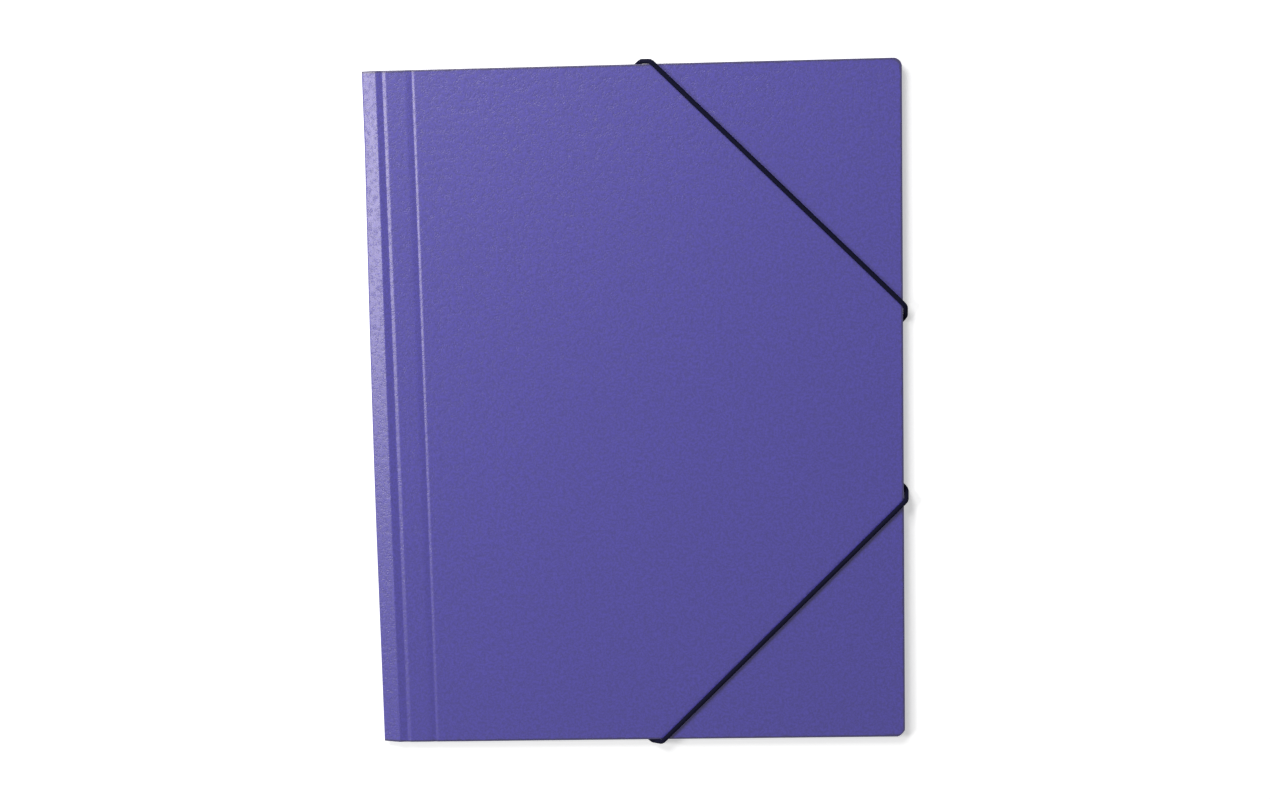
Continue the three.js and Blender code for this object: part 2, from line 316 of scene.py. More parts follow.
def sheet_wave(x, y, height):
    """Slight waves of a cover, none at the spine."""
    fade = smooth_step(x, lowest_x + WAVE_START, lowest_x + WAVE_FULL)
    across, along, slanted = WAVE_LENGTHS
    waves = np.sin(x / across + 1.3) * np.cos(y / along - 0.6) + 0.5 * np.sin((x + y) / slanted + 0.4)
    return height * fade * waves / 1.5


def fold_lean(y, settings):
    """How far the fold lies inward at a place y, from none below the middle to all of it near the top."""
    share = np.clip((y - LEAN_START) / LEAN_SPAN, 0, 1)
    return settings.fold_lean * share ** LEAN_CURVE


def cover_place(settings):
    """Function that places a point of the cover from its unrolled place and its height over the middle,
    and the unrolled lengths at the back's and the front's fore-edge."""
    line_u, line_x, line_z = cover_line(settings)
    probe = 0.03 * MM

    def along(values, u):
        inner = np.interp(u, line_u, values)
        before = (u - line_u[0]) * (values[1] - values[0]) / (line_u[1] - line_u[0]) + values[0]
        after = (u - line_u[-1]) * (values[-1] - values[-2]) / (line_u[-1] - line_u[-2]) + values[-1]
        return np.where(u < line_u[0], before, np.where(u > line_u[-1], after, inner))

    def place(u, y, height):
        x = along(line_x, u)
        z = along(line_z, u)
        slope_x = along(line_x, u + probe) - along(line_x, u - probe)
        slope_z = along(line_z, u + probe) - along(line_z, u - probe)
        length = np.hypot(slope_x, slope_z)
        normal_x = -slope_z / length
        normal_z = slope_x / length
        lean = fold_lean(y, settings) * np.clip(1 - np.abs(u) / LEAN_REACH, 0, 1)
        wave = sheet_wave(x, y, settings.wave)
        return np.stack([x + normal_x * height + lean, y, z + normal_z * height + wave], axis=-1)

    return place, line_u[0], line_u[-1]


def corner_steps(size, fullness):
    """Outline of an outer corner from its start on the long side: steps toward and away from the tip.
    A fullness of 2 is a true arc, and less is a blunt cut with rounded ends."""
    angle = np.linspace(0, math.pi / 2, CORNER_STEPS + 1)
    power = 2 / fullness
    return size * np.sin(angle) ** power, size * np.cos(angle) ** power


def plan_grid(stations, low, high, rows, corner_from, low_stations=None):
    """Grid over a sheet: unrolled length and breadth of each point, from the outline's two long sides."""
    low_stations = stations if low_stations is None else low_stations
    t = np.concatenate([[-1], np.linspace(-RIM_ROW, RIM_ROW, rows - 2), [1]])
    share = (t + 1) / 2
    even = np.array(stations)
    even[corner_from:] = np.linspace(stations[corner_from], stations[-1], len(stations) - corner_from)
    pull = np.abs(t) ** CORNER_PULL
    outline = np.where(t[None, :] > 0, np.array(stations)[:, None], np.array(low_stations)[:, None])
    u = even[:, None] * (1 - pull) + outline * pull
    b = np.array(low)[:, None] * (1 - share) + np.array(high)[:, None] * share
    return u, b


def boundary_loop(count_u, count_b):
    """Indices of a grid's edge points, in order round it."""
    side = [(i, 0) for i in range(count_u)]
    side += [(count_u - 1, j) for j in range(1, count_b)]
    side += [(i, count_b - 1) for i in range(count_u - 2, -1, -1)]
    side += [(0, j) for j in range(count_b - 2, 0, -1)]
    return np.array(side).T


def sheet_object(name, u, b, place, half_thickness, rim, plain_start):
    """Closed sheet with rounded rims over a grid of unrolled places.
    With a plain start, its first edge stays where it is, to meet another sheet."""
    count_u, count_b = u.shape
    loop_i, loop_j = boundary_loop(count_u, count_b)
    outline = np.stack([u[loop_i, loop_j], b[loop_i, loop_j]], axis=-1)
    edge = np.roll(outline, -1, axis=0) - outline
    edge /= np.maximum(np.linalg.norm(edge, axis=1, keepdims=True), 1e-12)
    inward = np.stack([-edge[:, 1], edge[:, 0]], axis=-1)
    before = np.roll(inward, 1, axis=0)
    shift = (inward + before) / (1 + np.sum(inward * before, axis=1, keepdims=True))
    if plain_start:
        at_start = loop_i == 0
        shift[at_start, 0] = 0
        middle = at_start & (loop_j > 0) & (loop_j < count_b - 1)
        shift[middle, 1] = 0

    half = half_thickness(u)
    grid_u, grid_b = u.copy(), b.copy()
    grid_u[loop_i, loop_j] += shift[:, 0] * rim
    grid_b[loop_i, loop_j] += shift[:, 1] * rim
    points, flats = [], []

    def add(pu, pb, height):
        points.append(place(pu.ravel(), pb.ravel(), height.ravel()))
        flats.append(np.stack([pu.ravel(), pb.ravel()], axis=-1))
        return sum(len(p) for p in points) - pu.size

    grids, rings = [], []
    for side in (1, -1):
        start = add(grid_u, grid_b, side * half)
        grid = start + np.arange(count_u * count_b).reshape(count_u, count_b)
        grids.append(grid)
        ring = [grid[loop_i, loop_j]]
        half_loop = half[loop_i, loop_j]
        for angle in (math.pi / 4, math.pi / 2):
            inset = rim * (1 - math.sin(angle))
            drop = rim * (1 - math.cos(angle))
            start = add(outline[:, 0] + shift[:, 0] * inset, outline[:, 1] + shift[:, 1] * inset,
                        side * (half_loop - drop))
            ring.append(start + np.arange(len(outline)))
        rings.append(ring)

    faces = []
    for grid, order in zip(grids, (1, -1)):
        corners = (grid[:-1, :-1], grid[1:, :-1], grid[1:, 1:], grid[:-1, 1:])
        faces.append(np.stack([corner.ravel() for corner in corners], axis=-1)[:, ::order])
    strips = [(rings[0][0], rings[0][1]), (rings[0][1], rings[0][2]), (rings[0][2], rings[1][2]),
              (rings[1][2], rings[1][1]), (rings[1][1], rings[1][0])]
    for inner, outer in strips:
        faces.append(np.stack([np.roll(inner, -1), inner, outer, np.roll(outer, -1)], axis=-1))
    faces = np.concatenate(faces)
    return mesh_object(name, np.concatenate(points), faces, np.concatenate(flats))


def add_object(name, data):
    """New object in the scene."""
    obj = bpy.data.objects.new(name, data)
    bpy.context.scene.collection.objects.link(obj)
    return obj


def mesh_object(name, points, faces, flats):
    """Object from points, four-sided faces and each point's flat place, with its faces pointing out."""
    a, b, c, d = (points[faces[:, k]] for k in range(4))
    centre = points.mean(axis=0)
    volume = np.sum(np.cross(b - centre, c - centre) * (a - centre))
    volume += np.sum(np.cross(c - centre, d - centre) * (a - centre))
    if volume < 0:
        faces = faces[:, ::-1]
    mesh = bpy.data.meshes.new(name)
    mesh.from_pydata(points.tolist(), [], faces.tolist())
    mesh.polygons.foreach_set("use_smooth", [True] * len(mesh.polygons))
    loops = np.empty(len(mesh.loops), np.int32)
    mesh.loops.foreach_get("vertex_index", loops)
    layer = mesh.uv_layers.new(name="flat")
    layer.data.foreach_set("uv", flats[loops].astype(np.float32).ravel())
    mesh.validate()
    mesh.update()
    mesh.set_sharp_from_angle(angle=SHARP_ANGLE)
    return add_object(name, mesh)


def mark_rims(obj, distance):
    """Stores each point's distance from the nearest cut edge, which the material darkens."""
    points = np.empty(len(obj.data.vertices) * 3)
    obj.data.vertices.foreach_get("co", points)
    values = distance(points.reshape(-1, 3))
    attribute = obj.data.attributes.new("rim_distance", "FLOAT", "POINT")
    attribute.data.foreach_set("value", np.maximum(values, 0).astype(np.float32))


def cover_rim_distance(settings, holes=()):
    """Distance from a cover's outline, and from its holes, for points in the closed folder."""

    def distance(points):
        x, y = points[:, 0], points[:, 1]
        result = np.minimum(top_edge_y - np.abs(y), fore_edge_x - x)
        for sign, size in ((1, settings.upper_corner), (-1, settings.lower_corner)):
            corner_x = x - (fore_edge_x - size)
            corner_y = sign * y - (top_edge_y - size)
            inside = (corner_x > 0) & (corner_y > 0)
            result = np.where(inside, size - np.hypot(corner_x, corner_y), result)
        for hole_x, hole_y in holes:
            result = np.minimum(result, np.hypot(x - hole_x, y - hole_y) - HOLE_RADIUS)
        return result

    return distance


def cover_grid(settings, end, fine):
    """Grid over one part of the cover, from a plain cut near the spine to the fore-edge and its corners."""
    size = settings.upper_corner
    corner_u, corner_b = corner_steps(size, ROUND_CORNER)
    blunt_u, blunt_b = corner_steps(settings.lower_corner, BLUNT_CORNER)
    inner = list(fine)
    last = end - size
    count = int((last - inner[-1]) / LONG_STEP) + 1
    inner += list(np.linspace(inner[-1], last, count)[1:-1])
    stations = np.array(inner + list(last + corner_u))
    low_last = end - settings.lower_corner
    low_stations = np.array(inner + list(low_last + blunt_u))
    high = np.array([top_edge_y] * len(inner) + list(top_edge_y - size + corner_b))
    low = -np.array([top_edge_y] * len(inner) + list(top_edge_y - settings.lower_corner + blunt_b))
    return plan_grid(stations, low, high, COVER_ROWS, len(inner), low_stations)


def sheet_half_thickness(settings):
    """Half of the sheet's thickness, which the crease at the fold pinches."""
    thin = settings.crease_thickness / 2

    def half(u):
        return np.minimum(sheet_thickness / 2, thin + CREASE_TAPER * np.abs(u))

    return half


def hole_places():
    """Places of the four holes, from the metal bars that lie over them."""
    places = []
    for node in ("upper_barb_end", "upper_barb_fore", "lower_barb_end", "lower_barb_fore"):
        low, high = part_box(node)
        middle = (low + high) / 2
        places.append((middle.x, middle.y))
    return places


def cut_holes(obj, places):
    """Punches round holes through the back cover."""
    sides, below, above = HOLE_SIDES, fold_z - 3 * MM, fold_z + 1 * MM
    angle = np.linspace(0, 2 * math.pi, sides, endpoint=False)
    points, faces = [], []
    for index, (x, y) in enumerate(places):
        base = index * 2 * sides
        ring = np.stack([x + HOLE_RADIUS * np.cos(angle), y + HOLE_RADIUS * np.sin(angle)], axis=-1)
        points += [(px, py, below) for px, py in ring]
        points += [(px, py, above) for px, py in ring]
        faces.append([base + k for k in range(sides)][::-1])
        faces.append([base + sides + k for k in range(sides)])
        for k in range(sides):
            after = (k + 1) % sides
            faces.append([base + k, base + after, base + sides + after, base + sides + k])
    punch = add_object("hole_punch", bpy.data.meshes.new("hole_punch"))
    punch.data.from_pydata(points, [], faces)
    modifier = obj.modifiers.new("holes", "BOOLEAN")
    modifier.operation = "DIFFERENCE"
    modifier.solver = "EXACT"
    modifier.object = punch
    bpy.context.view_layer.update()
    result = bpy.data.meshes.new_from_object(obj.evaluated_get(bpy.context.evaluated_depsgraph_get()))
    obj.modifiers.clear()
    before = len(obj.data.vertices)
    obj.data = result
    bpy.data.objects.remove(punch)
    if len(result.vertices) <= before:
        raise RuntimeError("the holes were not cut")
    result.set_sharp_from_angle(angle=SHARP_ANGLE)


# Materials


def feed(tree, target, value):
    """Links a node's input to a socket, or sets it to a plain value."""
    if isinstance(value, bpy.types.NodeSocket):
        tree.links.new(value, target)
    else:
        target.default_value = value


def add_node(tree, kind, inputs=None, **options):
    """Node with its options set and its inputs fed, each by its name or number."""
    node = tree.nodes.new(kind)
    for name, value in options.items():
        setattr(node, name, value)
    for key, value in (inputs or {}).items():
        feed(tree, node.inputs[key], value)
    return node


def math_node(tree, operation, first, second, clamp=False):
    node = add_node(tree, "ShaderNodeMath", {0: first, 1: second}, operation=operation, use_clamp=clamp)
    return node.outputs[0]


def map_range(tree, value, low, high, to_low=0.0, to_high=1.0):
    """Number that goes smoothly from one value to another while the given one goes from low to high."""
    inputs = {"Value": value, "From Min": low, "From Max": high, "To Min": to_low, "To Max": to_high}
    return add_node(tree, "ShaderNodeMapRange", inputs, interpolation_type="SMOOTHSTEP").outputs["Result"]


def noise(tree, place, scale, detail=2.0, roughness=0.5, output="Fac"):
    inputs = {"Vector": place, "Scale": scale, "Detail": detail, "Roughness": roughness}
    return add_node(tree, "ShaderNodeTexNoise", inputs).outputs[output]


def mix_colour(tree, factor, first, second):
    node = add_node(tree, "ShaderNodeMix", data_type="RGBA")
    for name, value in (("Factor", factor), ("A", first), ("B", second)):
        feed(tree, next(s for s in node.inputs if s.name == name and s.enabled), value)
    return next(s for s in node.outputs if s.enabled)


def raise_surface(tree, shader, height, depth, strength=1.0):
    """Bumps a shader's surface by a height times a depth."""
    inputs = {"Strength": strength, "Distance": depth, "Height": height}
    feed(tree, shader.inputs["Normal"], add_node(tree, "ShaderNodeBump", inputs).outputs[0])


def shade(colour, factor):
    """Colour times a factor, as the four numbers of a socket."""
    return tuple(c * factor for c in colour) + (1.0,)


def flat_place(tree):
    """Place of a point on its flat sheet, in metres."""
    return add_node(tree, "ShaderNodeUVMap", uv_map="flat").outputs[0]


def new_group(name, inputs, outputs):
    """Node group that takes a place and numbers, given with their defaults, and puts out numbers."""
    tree = bpy.data.node_groups.new(name, "ShaderNodeTree")
    tree.interface.new_socket(name="Place", in_out="INPUT", socket_type="NodeSocketVector")
    for key, value in inputs.items():
        made = tree.interface.new_socket(name=key, in_out="INPUT", socket_type="NodeSocketFloat")
        made.default_value = value
    for key in outputs:
        tree.interface.new_socket(name=key, in_out="OUTPUT", socket_type="NodeSocketFloat")
    return tree, tree.nodes.new("NodeGroupInput").outputs, tree.nodes.new("NodeGroupOutput").inputs


def shared_group(tree, name, make, place):
    """Node of a group that several materials use, and that is made once."""
    group = bpy.data.node_groups.get(name) or make()
    return add_node(tree, "ShaderNodeGroup", {"Place": place}, node_tree=group)


def leather_grain_group():
    """Embossed grain of short curved wrinkles over fine pores, by the place on the flat sheet."""
    scales = {"Wrinkles": 900.0, "Pores": 1900.0}
    tree, given, result = new_group("leather_grain", scales, ("Height", "Tone"))
    bend_scale, bend_reach = 180.0, (0.0035, 0.0035, 0.0)
    wrinkle_width, wrinkle_depth, pore_depth = 0.3, 0.8, 0.35
    gate_scale, speckle_scale, speckle_tone, wrinkle_tone = 330.0, 900.0, 0.85, 0.4

    bend = noise(tree, given["Place"], bend_scale, output="Color")
    inputs = {0: bend, 1: bend_reach, 2: given["Place"]}
    bent = add_node(tree, "ShaderNodeVectorMath", inputs, operation="MULTIPLY_ADD").outputs[0]
    inputs = {"Vector": bent, "Scale": given["Wrinkles"]}
    cells = add_node(tree, "ShaderNodeTexVoronoi", inputs, feature="DISTANCE_TO_EDGE")
    between = map_range(tree, cells.outputs["Distance"], 0.0, wrinkle_width)
    gate = map_range(tree, noise(tree, given["Place"], gate_scale, 3.0), 0.38, 0.62)
    wrinkle = math_node(tree, "MULTIPLY", math_node(tree, "SUBTRACT", 1.0, between), gate)
    pores = math_node(tree, "MULTIPLY", noise(tree, bent, given["Pores"]), pore_depth)
    height = math_node(tree, "SUBTRACT", pores, math_node(tree, "MULTIPLY", wrinkle, wrinkle_depth))
    feed(tree, result["Height"], height)

    speckle = map_range(tree, noise(tree, bent, speckle_scale, 3.0, 0.65), 0.39, 0.61)
    tone = math_node(tree, "MULTIPLY", math_node(tree, "SUBTRACT", 1.0, speckle), speckle_tone)
    darker = math_node(tree, "MULTIPLY", wrinkle, wrinkle_tone)
    feed(tree, result["Tone"], math_node(tree, "ADD", tone, darker, clamp=True))
    return tree


def rim_darkening_group():
    """Darker line where a sheet's edge was cut, uneven along its length."""
    tree, given, result = new_group("rim_wear", {"Distance": 0.01, "Width": 0.0012}, ("Mask",))
    uneven_scale, narrow, wide, full_share = 260.0, 0.75, 1.25, 0.5
    uneven = map_range(tree, noise(tree, given["Place"], uneven_scale, 3.0), 0.3, 0.7, narrow, wide)
    width = math_node(tree, "MULTIPLY", given["Width"], uneven)
    share = math_node(tree, "DIVIDE", given["Distance"], width, clamp=True)
    feed(tree, result["Mask"], map_range(tree, share, full_share, 1.0, 1.0, 0.0))
    return tree


def new_material(name, roughness, metallic=0.0, specular=0.5):
    material = bpy.data.materials.new(name)
    material.use_nodes = True
    tree = material.node_tree
    shader = tree.nodes["Principled BSDF"]
    for key, value in (("Roughness", roughness), ("Metallic", metallic), ("Specular IOR Level", specular)):
        shader.inputs[key].default_value = value
    return material, tree, shader


def grained_plastic(name, settings, grain_depth):
    """Satin polypropylene with an embossed leather grain and darker cut edges, made once for each name."""
    if name in bpy.data.materials:
        return bpy.data.materials[name]
    roughness = settings.roughness
    material, tree, shader = new_material(name, roughness, specular=0.78)
    place = flat_place(tree)
    grain = shared_group(tree, "leather_grain", leather_grain_group, place)
    edge_darkening = shared_group(tree, "rim_wear", rim_darkening_group, place)
    distance = add_node(tree, "ShaderNodeAttribute", attribute_name="rim_distance")
    feed(tree, edge_darkening.inputs["Distance"], distance.outputs["Fac"])

    pale, paler, darker, deep = (shade(settings.colour, factor) for factor in (1.13, 1.17, 0.77, 0.33))
    drift_scale, shine_scale = 22.0, 90.0
    drift = map_range(tree, noise(tree, place, drift_scale, 4.0, 0.55), 0.3, 0.7)
    body = mix_colour(tree, drift, pale, paler)
    body = mix_colour(tree, grain.outputs["Tone"], body, darker)
    # The rim mask only darkens the colour in a thin, uneven line along the cut edges and round the holes
    body = mix_colour(tree, edge_darkening.outputs["Mask"], body, deep)
    feed(tree, shader.inputs["Base Color"], body)

    glossy, dull = roughness - 0.005, roughness + 0.012
    shine = noise(tree, place, shine_scale, 3.0)
    feed(tree, shader.inputs["Roughness"], map_range(tree, shine, 0.3, 0.7, glossy, dull))
    shader.inputs["Specular Tint"].default_value = (1.0, 0.94, 0.83, 1.0)
    raise_surface(tree, shader, grain.outputs["Height"], grain_depth)
    return material


def black_textile(name, colour):
    """Fine yarn over the braided strands of an elastic cord, made once."""
    if name in bpy.data.materials:
        return bpy.data.materials[name]
    material, tree, shader = new_material(name, 0.82, specular=0.05)
    place = flat_place(tree)
    yarn_share, fuzz_share, fuzz_scale = 0.6, 0.4, 3000.0
    yarns = []
    for slant in (45, -45):
        inputs = {"Vector": place, "Rotation": (0, 0, math.radians(slant))}
        slanted = add_node(tree, "ShaderNodeMapping", inputs).outputs[0]
        inputs = {"Vector": slanted, "Scale": 1100.0, "Distortion": 1.2, "Detail": 1.0}
        yarns.append(add_node(tree, "ShaderNodeTexWave", inputs).outputs["Fac"])
    yarn = math_node(tree, "MULTIPLY", math_node(tree, "MAXIMUM", *yarns), yarn_share)
    fuzz = math_node(tree, "MULTIPLY", noise(tree, place, fuzz_scale, 3.0), fuzz_share)
    mixed = math_node(tree, "ADD", yarn, fuzz)
    pale = tuple(c * 2.2 + 0.004 for c in colour) + (1.0,)
    feed(tree, shader.inputs["Base Color"], mix_colour(tree, mixed, shade(colour, 0.6), pale))
    raise_surface(tree, shader, mixed, 0.03 * MM, 0.8)
    return material


def brushed_steel(name):
    """Steel strip with fine brushing along its length and small dull patches."""
    material, tree, shader = new_material(name, 0.34, metallic=1.0)
    place = add_node(tree, "ShaderNodeTexCoord").outputs["Object"]
    brushing, patch_scale, glossy, dull = (400.0, 9000.0, 9000.0), 500.0, 0.28, 0.46
    stretched = add_node(tree, "ShaderNodeMapping", {"Vector": place, "Scale": brushing}).outputs[0]
    lines = noise(tree, stretched, 1.0, 3.0)
    patches = noise(tree, place, patch_scale, 3.0)
    pale, dark = (0.62, 0.62, 0.63, 1.0), (0.46, 0.46, 0.48, 1.0)
    feed(tree, shader.inputs["Base Color"], mix_colour(tree, lines, dark, pale))
    feed(tree, shader.inputs["Roughness"], map_range(tree, patches, 0.3, 0.7, glossy, dull))
    raise_surface(tree, shader, lines, 0.01 * MM, 0.4)
    return material


def seen_directly(tree):
    """1 where the camera, a reflection or a clear material looks at the surface, and 0 for its light."""
    rays = tree.nodes.new("ShaderNodeLightPath").outputs
    seen = math_node(tree, "MAXIMUM", rays["Is Camera Ray"], rays["Is Glossy Ray"])
    return math_node(tree, "MAXIMUM", seen, rays["Is Transmission Ray"])


def white_floor(name, glow):
    """Pale floor with a light of its own where it is seen: the glow near the folder, and white far away."""
    material, tree, shader = new_material(name, 0.9, specular=0.0)
    shader.inputs["Base Color"].default_value = (0.86, 0.86, 0.86, 1.0)
    shader.inputs["Emission Color"].default_value = WHITE
    place = add_node(tree, "ShaderNodeTexCoord").outputs["Object"]
    distance = add_node(tree, "ShaderNodeVectorMath", {0: place}, operation="LENGTH").outputs["Value"]
    near, far = 0.3, 1.2
    around = map_range(tree, distance, near, far, glow, 1.0)
    feed(tree, shader.inputs["Emission Strength"], math_node(tree, "MULTIPLY", seen_directly(tree), around))
    return material


# Pieces


class FOLDER_OT_back_sheet(bpy.types.Operator):
    """Back cover with the spine fold and the inner half of the spine band"""

    bl_idname = "elastic_folder.back_sheet"
    bl_label = "Back Sheet"

    def execute(self, context):
        settings = context.scene.folder_cover
        place, back_u, _ = cover_place(settings)
        crease, crease_step, cover_step, fine_end = 0.4 * MM, 0.04 * MM, 0.4 * MM, 14 * MM
        fine = np.concatenate([
            np.arange(-SPLIT_LENGTH, -crease, FINE_STEP),
            np.arange(-crease, crease, crease_step),
            np.arange(crease, fine_end, cover_step),
        ])
        v, b = cover_grid(settings, -back_u, fine)
        half = sheet_half_thickness(settings)
        obj = sheet_object(
            "back_sheet", v, b, lambda u, y, h: place(-u, y, h), half, settings.rim_radius, True)
        places = hole_places()
        cut_holes(obj, places)
        mark_rims(obj, cover_rim_distance(settings, places))
        obj.data.materials.clear()
        obj.data.materials.append(grained_plastic("violet_cover", settings, settings.grain_depth))
        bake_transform(obj)
        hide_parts("back_cover")
        return {"FINISHED"}


class FOLDER_OT_front_sheet(bpy.types.Operator):
    """Outer half of the spine band and the front cover with its two grooves"""

    bl_idname = "elastic_folder.front_sheet"
    bl_label = "Front Sheet"

    def execute(self, context):
        settings = context.scene.folder_cover
        place, _, front_u = cover_place(settings)
        fine_end = 31 * MM
        fine = np.arange(SPLIT_LENGTH, fine_end, FINE_STEP)
        u, b = cover_grid(settings, front_u, fine)
        half = sheet_half_thickness(settings)
        obj = sheet_object("front_sheet", u, b, place, half, settings.rim_radius, True)
        mark_rims(obj, cover_rim_distance(settings))
        obj.data.materials.append(grained_plastic("violet_cover", settings, settings.grain_depth))
        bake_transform(obj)
        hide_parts("spine_band", "front_cover")
        return {"FINISHED"}


# Section and mesh of the flaps
FLAP_BEND = 0.45 * MM
BEND_POINTS = 9
FLAP_GRAIN = 0.03 * MM
FLAP_RIM = 0.1 * MM
FLAT_START = 4 * MM
CREASE_WIDTH = 0.35 * MM
RIPPLE_LENGTH = 0.031
BEND_MARGIN = 0.6 * MM
CREASE_MARGIN = 1.2 * MM
FLAT_STATIONS = 22
PROBE = 0.02 * MM


def flap_line(outer, free, low, high, settings):
    """Middle line of a flap's section from its tab round the cover's edge to its free edge.
    Gives the unrolled length, the distance from the folder's middle and the height."""
    half = settings.thickness / 2
    tab_z = low + half
    flap_z = high - half
    bend = min(FLAP_BEND, (flap_z - tab_z) / 2)
    edge = outer - half
    angle = np.linspace(0, math.pi / 2, BEND_POINTS)
    sine, cosine = bend * np.sin(angle), bend * np.cos(angle)
    p = np.concatenate([[outer - settings.tab], edge - bend + sine, edge - bend + cosine, [free]])
    z = np.concatenate([[tab_z], tab_z + bend - cosine, flap_z - bend + sine, [flap_z]])
    keep = np.concatenate([[True], np.hypot(np.diff(p), np.diff(z)) > 1e-9])
    p, z = p[keep], z[keep]
    u = np.concatenate([[0], np.cumsum(np.hypot(np.diff(p), np.diff(z)))])
    return u, p, z


def make_flap(name, node, direction, settings, wave):
    """One flap. direction is +y or -y for an end flap, and +x for the side flap."""
    low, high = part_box(node)
    along = 0 if direction[0] else 1
    across = 1 - along
    sign = direction[along]
    outer = max(sign * low[along], sign * high[along])
    free = min(sign * low[along], sign * high[along])
    line_u, line_p, line_z = flap_line(outer, free, low.z, high.z, settings)
    depth = outer - free
    middle = (low[across] + high[across]) / 2
    full = (high[across] - low[across]) / 2
    taper = settings.taper
    sag, wave_share = (0.0, 0.6) if along == 0 else (settings.sag, 1.0)

    slant = math.atan2(taper, depth)
    radius = settings.corner
    reach = radius / math.tan((math.pi / 2 + slant) / 2)
    tangent_p = free + reach * math.cos(slant)
    arc = np.linspace(slant, math.pi / 2, CORNER_STEPS + 1)
    arc_p = free + radius - radius * np.sin(arc)
    side_half = full - taper * (outer - tangent_p) / depth
    arc_half = side_half + radius * (np.cos(arc) - math.cos(slant))

    turn_u = line_u[-1] - (tangent_p - free)
    fine = list(line_u[:-1])
    crease_u = line_u[-1] - (outer - settings.crease_step - free)
    fine += list(np.arange(line_u[-2] + BEND_MARGIN, crease_u + CREASE_MARGIN, FINE_STEP))
    fine += list(np.linspace(fine[-1], turn_u, FLAT_STATIONS)[1:-1])
    stations = np.array(fine + list(line_u[-1] - (arc_p - free)))
    plan_p = np.interp(stations, line_u, line_p)
    halves = full - taper * (outer - plan_p) / depth
    halves[len(fine):] = arc_half
    u, b = plan_grid(stations, middle - halves, middle + halves, FLAP_ROWS, len(fine))

    def place(pu, pb, height):
        past = np.clip(pu, line_u[0], line_u[-1])
        p = np.interp(past, line_u, line_p) + np.where(pu > line_u[-1], line_u[-1] - pu, 0)
        z = np.interp(past, line_u, line_z)
        near = np.clip(pu - PROBE, line_u[0], line_u[-1])
        far = np.clip(pu + PROBE, line_u[0], line_u[-1])
        slope_p = np.interp(far, line_u, line_p) - np.interp(near, line_u, line_p)
        slope_z = np.interp(far, line_u, line_z) - np.interp(near, line_u, line_z)
        length = np.hypot(slope_p, slope_z)
        flat_share = smooth_step(pu, line_u[-2] + FLAT_START, line_u[-1])
        crease = np.exp(-((pu - crease_u) / CREASE_WIDTH) ** 2) * settings.crease_depth
        ripple = 0.5 + 0.5 * np.sin(pb / RIPPLE_LENGTH + 0.7)
        drop = sag * flat_share ** 1.5 + wave * flat_share * ripple * wave_share
        lift = np.where(height < 0, crease, 0.6 * crease)
        real_p = p + slope_z / length * height
        real_z = z - slope_p / length * height - drop - lift
        result = np.empty(pu.shape + (3,))
        result[..., along] = sign * real_p
        result[..., across] = pb
        result[..., 2] = real_z
        return result

    half = settings.thickness / 2
    obj = sheet_object(name, u, b, place, lambda u: np.full(u.shape, half), FLAP_RIM, False)

    def distance(points):
        p = sign * points[:, along]
        spread = np.abs(points[:, across] - middle)
        side = full - taper * (outer - p) / depth - spread
        on_tab = points[:, 2] < low.z + settings.thickness + FLAP_RIM
        end = np.where(on_tab, p - (outer - settings.tab), p - free)
        return np.minimum(side, end)

    mark_rims(obj, distance)
    obj.data.materials.append(grained_plastic("violet_flap", settings, FLAP_GRAIN))
    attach(obj, "back")
    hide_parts(node)


class FOLDER_OT_flaps(bpy.types.Operator):
    """Three flaps that fold in over the papers"""

    bl_idname = "elastic_folder.flaps"
    bl_label = "Flaps"

    def execute(self, context):
        settings = context.scene.folder_flap
        end_wave, side_wave = 0.06 * MM, 0.05 * MM
        make_flap("upper_flap_sheet", "top_flap", (0, 1), settings, end_wave)
        make_flap("lower_flap_sheet", "bottom_flap", (0, -1), settings, end_wave)
        make_flap("side_flap_sheet", "side_flap", (1, 0), settings, side_wave)
        return {"FINISHED"}


# Where each cord crosses the end edge and the fore-edge: on the front, then behind
CROSSINGS = {
    1: (10.4 * MM, 47.3 * MM, 2.9 * MM, 39.5 * MM),
    -1: (8.9 * MM, 46.2 * MM, 1.2 * MM, 38.9 * MM),
}
# Ends and mesh of the cords
FLOOR_GAP = 0.05 * MM
CORD_START = 0.75 * MM
BEND_START = 0.1 * MM
CORD_TIP = 0.6 * MM
WRAP_POINTS = 13
HOLE_POINTS = 11
SIDES_PER_STRAND = 8


def arc_points(start_angle, end_angle, radius, count):
    angle = np.linspace(start_angle, end_angle, count)
    return radius * np.cos(angle), radius * np.sin(angle)


def edge_wrap(front_radius, back_radius):
    """Section of the cord round an edge, front to back: outward reach, height and share of its length."""
    front_out, up = arc_points(math.pi / 2, 0, front_radius, WRAP_POINTS)
    back_out, down = arc_points(0, -math.pi / 2, back_radius, WRAP_POINTS)
    reach = np.concatenate([front_out, back_out])
    height = np.concatenate([front_high.z + up, back_low.z + down])
    length = np.concatenate([[0], np.cumsum(np.hypot(np.diff(reach), np.diff(height)))])
    return reach, height, length / length[-1]


